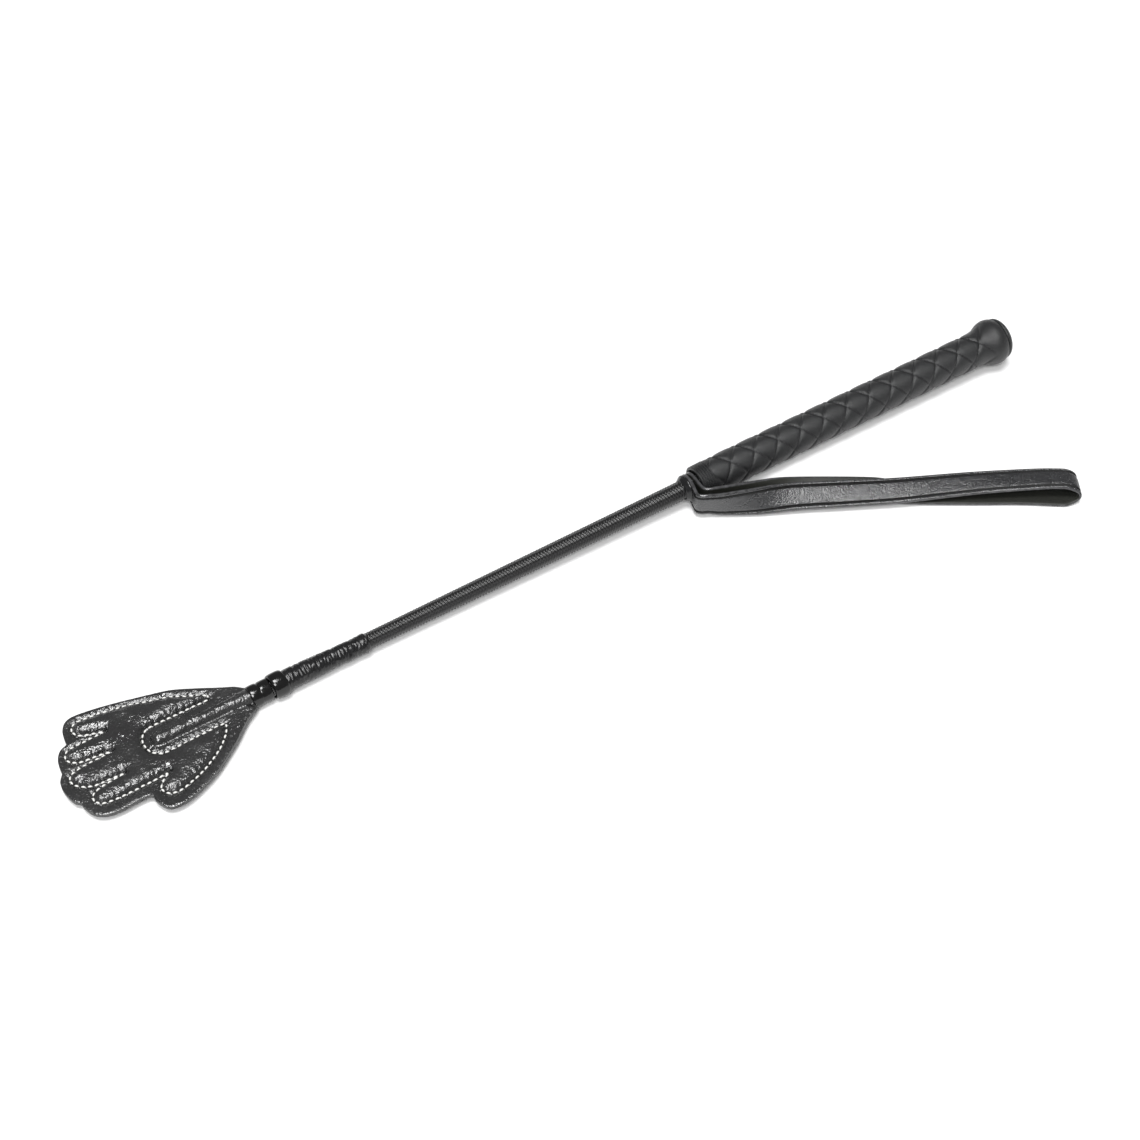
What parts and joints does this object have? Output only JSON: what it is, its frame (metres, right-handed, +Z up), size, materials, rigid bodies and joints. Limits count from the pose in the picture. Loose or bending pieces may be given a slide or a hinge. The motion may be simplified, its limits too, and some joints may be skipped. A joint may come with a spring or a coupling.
{
  "type": "riding crop",
  "caption": "Short riding crop: plaited shaft, moulded grip with flared butt, folded wrist strap and a padded, stitched leather flap cut as an open hand.",
  "frame": {"origin": "under the middle of the whole crop's box, on the surface it lies on", "axes": "+X along the crop towards the butt, +Y to the side away from the thumb and the strap, +Z up"},
  "size_m": [0.5516, 0.1432, 0.0249],
  "materials": {
    "fibreglass": "smooth glass-fibre rod",
    "black_plastic": "moulded plastic",
    "nylon_braid": "tight plaited nylon with a satin sheen",
    "waxed_thread": "waxed winding thread",
    "sleeve_leather": "thin creased black leather",
    "glossy_lace": "polished black lace",
    "rubber": "moulded rubber",
    "strap_leather": "flat pebbled strap leather with polished edges",
    "wood": "turned softwood",
    "grip_rubber": "matt moulded rubber",
    "cap_rubber": "matt moulded rubber",
    "steel": "bright steel tack",
    "flap_leather": "pebbled black leather",
    "foam": "open-cell foam",
    "white_thread": "white polyester stitching thread"
  },
  "bodies": {
    "crop": {"shaft_rod": "fibreglass", "rod_tip_cap": "black_plastic", "braid_cover": "nylon_braid", "sleeve_whipping": "waxed_thread", "tip_sleeve": "sleeve_leather", "binding_lace": "glossy_lace", "neck_ferrule": "rubber", "grip_core": "wood", "grip_sleeve": "grip_rubber", "butt_knob": "grip_rubber", "butt_end_cap": "cap_rubber", "butt_tack": "steel", "palm_front_leather": "flap_leather", "palm_back_leather": "flap_leather", "palm_padding": "foam", "palm_front_thread": "white_thread", "palm_back_thread": "white_thread"},
    "fingers": {"fingers_front_leather": "flap_leather", "fingers_back_leather": "flap_leather", "fingers_front_thread": "white_thread", "fingers_back_thread": "white_thread", "index_padding": "foam", "middle_padding": "foam", "ring_padding": "foam", "little_padding": "foam"},
    "strap_tabs": {"strap_tab_outer": "strap_leather", "strap_tab_inner": "strap_leather"},
    "strap_loop": {"wrist_loop": "strap_leather"}
  },
  "joints": [
    {"name": "flap_flex", "type": "hinge", "parent": "crop", "child": "fingers", "pos_m": [-0.24561, 0.0367, 0.00466], "axis": [0, 1, 0], "range_deg": [-30, 30], "stiffness_Nm_per_rad": 0.3},
    {"name": "strap_swivel", "type": "hinge", "parent": "crop", "child": "strap_tabs", "pos_m": [0.07253, 0.0367, 0.00965], "axis": [0.9999, 0, 0.0157], "continuous": true},
    {"name": "strap_swing", "type": "hinge", "parent": "strap_tabs", "child": "strap_loop", "pos_m": [0.07298, 0.0247, 0.0094], "axis": [0, 0, 1], "range_deg": [-75, 10]}
  ]
}
